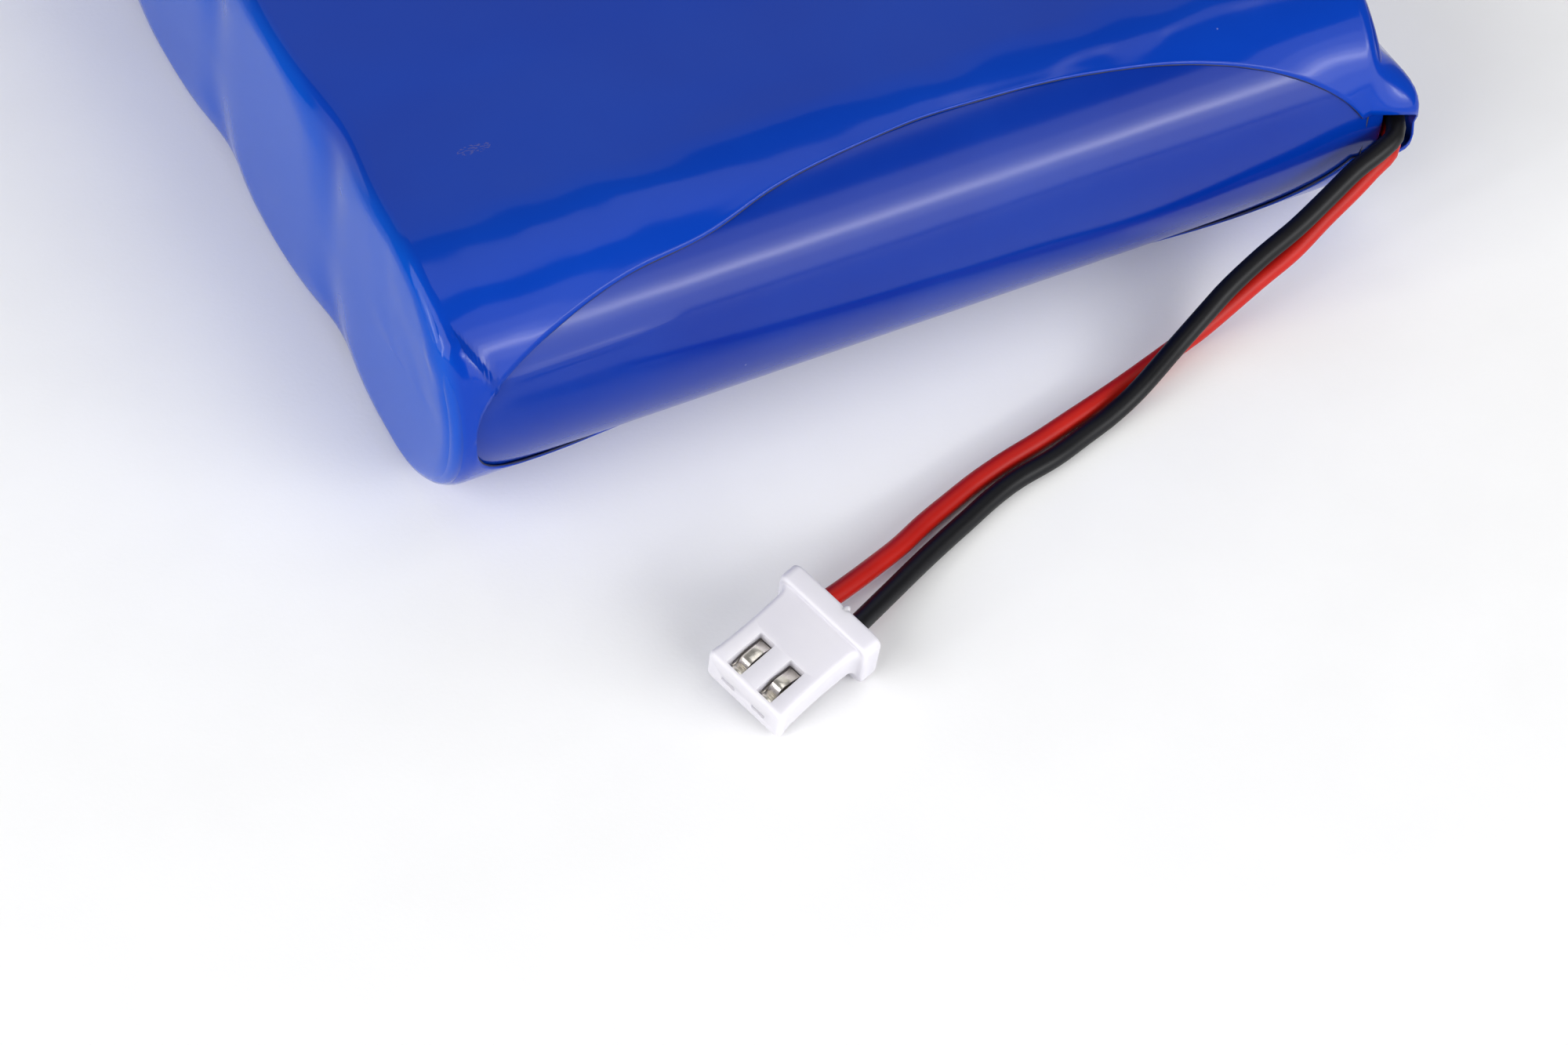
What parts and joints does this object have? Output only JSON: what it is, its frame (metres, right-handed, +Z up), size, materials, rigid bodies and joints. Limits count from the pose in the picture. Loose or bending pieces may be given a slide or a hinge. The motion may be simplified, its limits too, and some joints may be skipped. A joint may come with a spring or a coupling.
{
  "type": "battery pack",
  "caption": "Rechargeable pack of cylindrical cells side by side in blue shrink sleeves, with a protection board and two leads that end in a small white plug.",
  "frame": {"origin": "middle of the flat underside of the pack, leads and plug left out", "axes": "+X along the cells towards the end that holds the protection board and the leads; +Y along the row, away from the open side where the leads leave; +Z up"},
  "size_m": [0.0688, 0.097, 0.0192],
  "materials": {
    "outer_film": "satin shrink film with fine grain",
    "inner_film": "satin shrink film with fine grain",
    "cell_jacket": "glossy",
    "cell_steel": "nickel plated",
    "washer_paper": "matt",
    "gasket": "matt",
    "electrode": "matt wound foil",
    "glue": "satin",
    "nickel_strip": "satin nickel",
    "fish_paper": "matt",
    "board_tape": "glossy amber",
    "circuit_board": "solder mask",
    "chip_plastic": "moulded epoxy",
    "passive_ceramic": "satin",
    "solder": "bright",
    "white_wire": "satin",
    "red_insulation": "satin silicone-like",
    "black_insulation": "satin",
    "plug_nylon": "satin translucent nylon",
    "tinned_contact": "tin plated"
  },
  "bodies": {
    "root": {"outer_sleeve": "outer_film", "inner_sleeve": "inner_film", "cell_jacket_1": "cell_jacket", "cell_jacket_2": "cell_jacket", "cell_jacket_3": "cell_jacket", "cell_jacket_4": "cell_jacket", "cell_can_1": "cell_steel", "cell_can_2": "cell_steel", "cell_can_3": "cell_steel", "cell_can_4": "cell_steel", "cell_cap_1": "cell_steel", "cell_cap_2": "cell_steel", "cell_cap_3": "cell_steel", "cell_cap_4": "cell_steel", "cap_washer_1": "washer_paper", "cap_washer_2": "washer_paper", "cap_washer_3": "washer_paper", "cap_washer_4": "washer_paper", "cell_gaskets": "gasket", "electrode_rolls": "electrode", "cell_glue": "glue", "series_strip": "nickel_strip", "positive_strip": "nickel_strip", "negative_strip": "nickel_strip", "board_tabs": "nickel_strip", "end_paper_left": "fish_paper", "end_paper_right": "fish_paper", "board_tape": "board_tape", "protection_board": "circuit_board", "board_mosfets": "chip_plastic", "board_ics": "chip_plastic", "board_passives": "passive_ceramic", "solder_joints": "solder", "sense_wire": "white_wire", "red_lead_tail": "red_insulation", "black_lead_tail": "black_insulation", "red_lead": "red_insulation", "black_lead": "black_insulation", "connector_housing": "plug_nylon", "crimp_terminal_red": "tinned_contact", "crimp_terminal_black": "tinned_contact"}
  },
  "joints": []
}
